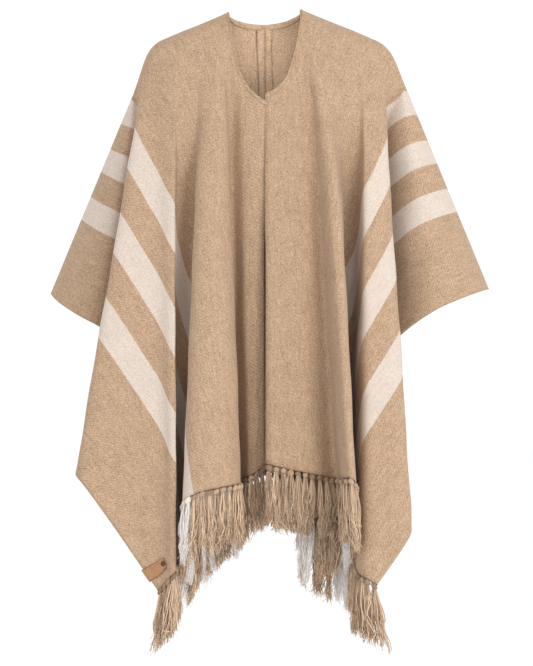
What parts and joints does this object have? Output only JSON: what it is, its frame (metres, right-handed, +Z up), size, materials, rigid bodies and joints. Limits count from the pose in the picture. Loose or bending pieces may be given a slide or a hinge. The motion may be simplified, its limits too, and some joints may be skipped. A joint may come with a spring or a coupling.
{
  "type": "andean poncho",
  "caption": "Open-front woven poncho with pale stripes at the sides, a V neck and knotted fringes, hanging hollow as worn.",
  "frame": {"origin": "on the middle line, level with the two shoulder points on which the poncho is held", "axes": "+Z up, +X to the wearer's left, +Y to the wearer's back, so the open front faces -Y"},
  "size_m": [0.7926, 0.6525, 1.1355],
  "materials": {
    "wool": "matte twill in camel wool with cream stripes",
    "fringe_yarn": "loose matte wool yarn",
    "leather": "smooth vegetable-tanned leather",
    "rivet_metal": "dark antiqued metal"
  },
  "bodies": {
    "root": {"right_length": "wool", "left_length": "wool", "fringe_front_right": "fringe_yarn", "fringe_back_right": "fringe_yarn", "fringe_front_left": "fringe_yarn", "fringe_back_left": "fringe_yarn", "label": "leather", "rivet_front": "rivet_metal", "rivet_back": "rivet_metal"}
  },
  "joints": []
}
